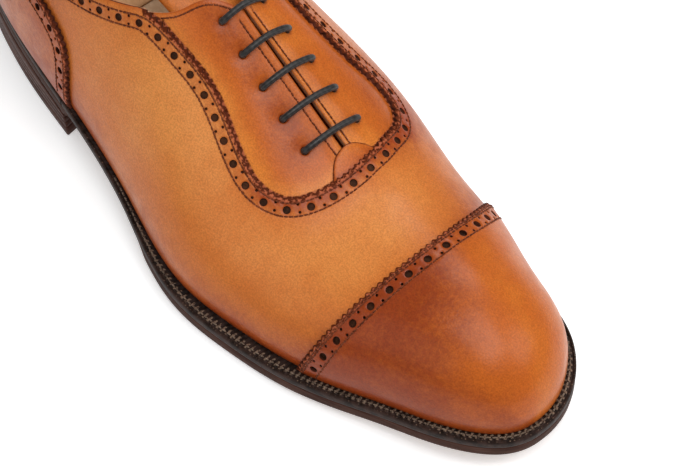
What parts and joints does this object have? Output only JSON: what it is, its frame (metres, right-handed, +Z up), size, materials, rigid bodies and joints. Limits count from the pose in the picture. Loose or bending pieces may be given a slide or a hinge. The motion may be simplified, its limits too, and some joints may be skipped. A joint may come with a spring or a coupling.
{
  "type": "oxford shoe",
  "caption": "Right-foot leather oxford shoe with closed lacing, straight toe cap, punched and gimped edges, welted leather sole and stacked heel.",
  "frame": {"origin": "centre of the shoe's bounding box, on the ground under the heel and the tread of the sole", "axes": "+X from heel to toe, +Y towards the inner (medial) side, -Y towards the outer (lateral) side, +Z up"},
  "size_m": [0.2868, 0.1028, 0.0915],
  "materials": {
    "tan_calf": "smooth tan calf, lightly burnished",
    "burnished_calf": "tan calf, burnished darker",
    "lining_leather": "natural lining leather, matt",
    "stiffener_board": "pressed leather board",
    "sole": "dark brown finished edge",
    "welt": "dark brown, wheeled",
    "heel": "dark brown stacked leather, polished",
    "rubber": "black, matt",
    "insole_leather": "natural, matt",
    "rib_canvas": "glued canvas rib",
    "cork": "ground cork, matt",
    "shank_steel": "spring steel",
    "nail_brass": "plain",
    "eyelet_metal": "antique brass, blind eyelets",
    "waxed_cord": "round waxed cotton, near black brown",
    "aglet_plastic": "dark tip"
  },
  "bodies": {
    "shoe": {"outsole": "sole", "welt": "welt", "heel_rand": "welt", "heel_lift_1": "heel", "heel_lift_2": "heel", "heel_lift_3": "heel", "top_piece_leather": "heel", "top_piece_rubber": "rubber", "shank": "shank_steel", "cork_filler": "cork", "insole": "insole_leather", "insole_rib": "rib_canvas", "heel_sock": "lining_leather", "toe_cap": "burnished_calf", "vamp": "tan_calf", "facing_lateral": "burnished_calf", "facing_medial": "burnished_calf", "throat_tab": "tan_calf", "heel_counter_cover": "tan_calf", "heel_stiffener": "stiffener_board", "toe_puff": "stiffener_board", "vamp_lining": "lining_leather", "quarter_lining_lateral": "lining_leather", "quarter_lining_medial": "lining_leather", "shoelace": "waxed_cord", "aglet_1": "aglet_plastic", "aglet_2": "aglet_plastic", "heel_nail_1": "nail_brass", "eyelet_lateral_1": "eyelet_metal", "eyelet_medial_1": "eyelet_metal", "heel_nail_2": "nail_brass", "eyelet_lateral_2": "eyelet_metal", "eyelet_medial_2": "eyelet_metal", "heel_nail_3": "nail_brass", "eyelet_lateral_3": "eyelet_metal", "eyelet_medial_3": "eyelet_metal", "heel_nail_4": "nail_brass", "eyelet_lateral_4": "eyelet_metal", "eyelet_medial_4": "eyelet_metal", "heel_nail_5": "nail_brass", "eyelet_lateral_5": "eyelet_metal", "eyelet_medial_5": "eyelet_metal"},
    "tongue": {"tongue": "tan_calf"}
  },
  "joints": [
    {"name": "tongue_hinge", "type": "hinge", "parent": "shoe", "child": "tongue", "pos_m": [0.04598, 0.01067, 0.04222], "axis": [0, 1, 0], "range_deg": [-20, 0], "stiffness_Nm_per_rad": 0.05}
  ]
}
